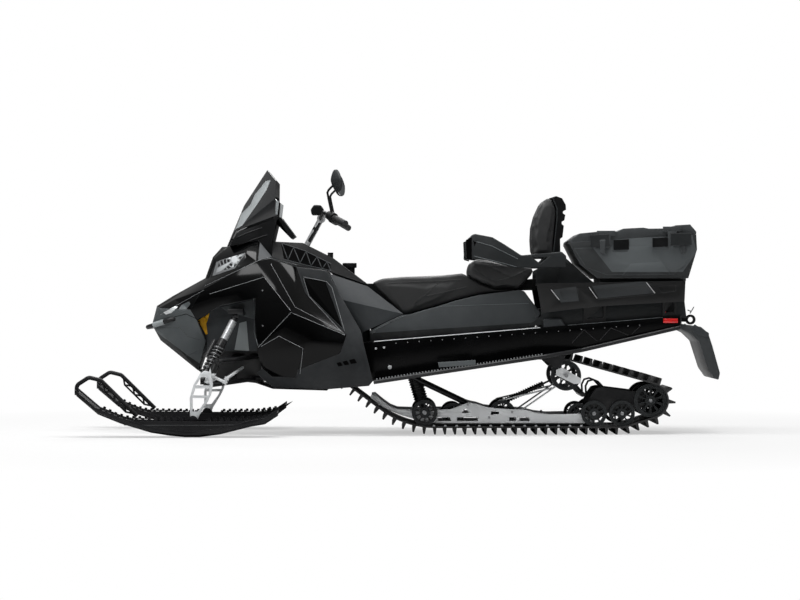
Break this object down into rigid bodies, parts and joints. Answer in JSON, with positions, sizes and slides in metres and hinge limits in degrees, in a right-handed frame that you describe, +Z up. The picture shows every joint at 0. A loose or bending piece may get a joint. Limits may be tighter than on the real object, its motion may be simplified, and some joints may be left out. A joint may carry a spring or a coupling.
{
  "type": "two-up utility snowmobile",
  "caption": "Snowmobile with steered skis, an enclosed hood, windshield, long track on slide rails, driver and passenger seats, and a rear rack with a lidded cargo box.",
  "frame": {"origin": "on the ground under the middle of the machine's length and width", "axes": "+X to the nose, +Y to the rider's left, +Z up"},
  "size_m": [3.3814, 1.19, 1.4037],
  "materials": {
    "seat_vinyl": "grained vinyl",
    "black_plastic": "textured",
    "grey_plastic": "textured",
    "ski_plastic": "satin",
    "gloss_panel": "gloss",
    "smoked_screen": "smoked clear",
    "lamp_lens": "clear",
    "lamp_red": "gloss",
    "black_steel": "satin black paint",
    "shaft_steel": "brushed",
    "bare_aluminium": "satin",
    "black_aluminium": "black coated",
    "grip_rubber": "matt",
    "track_rubber": "matt",
    "cast_engine": "cast"
  },
  "bodies": {
    "chassis": {"armrests": "seat_vinyl", "backrest": "seat_vinyl", "belly_pan": "black_plastic", "cargo_box": "black_plastic", "cargo_rack": "black_plastic", "console": "black_plastic", "control_arms": "black_steel", "dash_pod": "black_plastic", "drive_axle": "black_steel", "driver_seat": "seat_vinyl", "engine": "cast_engine", "footwells": "grey_plastic", "front_bumper": "black_steel", "front_frame": "black_steel", "front_shocks": "black_steel", "fuel_cap": "black_plastic", "fuel_tank": "grey_plastic", "headlights": "lamp_lens", "hood": "gloss_panel", "inner_fenders": "grey_plastic", "nose_cowl": "gloss_panel", "passenger_seat": "seat_vinyl", "rail_brackets": "bare_aluminium", "reflectors": "lamp_red", "running_boards": "black_aluminium", "seat_base": "black_plastic", "seat_frame": "black_steel", "side_panels": "gloss_panel", "side_vents": "black_plastic", "slide_rails": "bare_aluminium", "slide_shoes": "black_plastic", "snow_flap": "grip_rubber", "tail_light": "lamp_red", "torque_arms": "black_steel", "tow_hitch": "black_steel", "track": "track_rubber", "track_shocks": "black_steel", "track_wheels": "black_plastic", "tunnel": "black_aluminium", "tunnel_cover": "grey_plastic", "wheel_shafts": "shaft_steel", "windshield": "smoked_screen"},
    "steering": {"steering_post": "bare_aluminium", "handlebar": "black_steel", "grips": "grip_rubber", "hand_controls": "black_plastic", "mirrors": "black_plastic"},
    "spindle_left": {"spindle_left": "black_steel"},
    "spindle_right": {"spindle_right": "black_steel"},
    "tie_left": {"tie_rod_left": "black_steel"},
    "tie_right": {"tie_rod_right": "black_steel"},
    "ski_left": {"ski_left": "ski_plastic", "ski_loop_left": "ski_plastic"},
    "ski_right": {"ski_right": "ski_plastic", "ski_loop_right": "ski_plastic"},
    "lid": {"cargo_lid": "black_plastic"}
  },
  "joints": [
    {"name": "steering", "type": "hinge", "parent": "chassis", "child": "steering", "pos_m": [0.5, 0, 1.008], "axis": [-0.4771, 0, 0.8789], "range_deg": [-40, 40]},
    {"name": "spindle_left", "type": "hinge", "parent": "chassis", "child": "spindle_left", "pos_m": [1.0053, 0.47, 0.2648], "axis": [-0.3987, 0, 0.9171], "range_deg": [-34, 34]},
    {"name": "tie_left", "type": "hinge", "parent": "spindle_left", "child": "tie_left", "pos_m": [0.91, 0.47, 0.2834], "axis": [-0.3987, 0, 0.9171], "range_deg": [-34, 34]},
    {"name": "ski_pitch_left", "type": "hinge", "parent": "spindle_left", "child": "ski_left", "pos_m": [1.073, 0.5, 0.086], "axis": [0, -1, 0], "range_deg": [-8, 15], "stiffness_Nm_per_rad": 150},
    {"name": "spindle_right", "type": "hinge", "parent": "chassis", "child": "spindle_right", "pos_m": [1.0053, -0.47, 0.2648], "axis": [-0.3987, 0, 0.9171], "range_deg": [-34, 34]},
    {"name": "tie_right", "type": "hinge", "parent": "spindle_right", "child": "tie_right", "pos_m": [0.91, -0.47, 0.2834], "axis": [-0.3987, 0, 0.9171], "range_deg": [-34, 34]},
    {"name": "ski_pitch_right", "type": "hinge", "parent": "spindle_right", "child": "ski_right", "pos_m": [1.073, -0.5, 0.086], "axis": [0, -1, 0], "range_deg": [-8, 15], "stiffness_Nm_per_rad": 150},
    {"name": "lid", "type": "hinge", "parent": "chassis", "child": "lid", "pos_m": [-1.2, -0.289, 1.036], "axis": [1, 0, 0], "range_deg": [0, 95]}
  ],
  "couplings": [
    {"joint": "spindle_left", "follows": "steering", "ratio": 0.85},
    {"joint": "tie_left", "follows": "steering", "ratio": -0.85},
    {"joint": "spindle_right", "follows": "steering", "ratio": 0.85},
    {"joint": "tie_right", "follows": "steering", "ratio": -0.85}
  ]
}
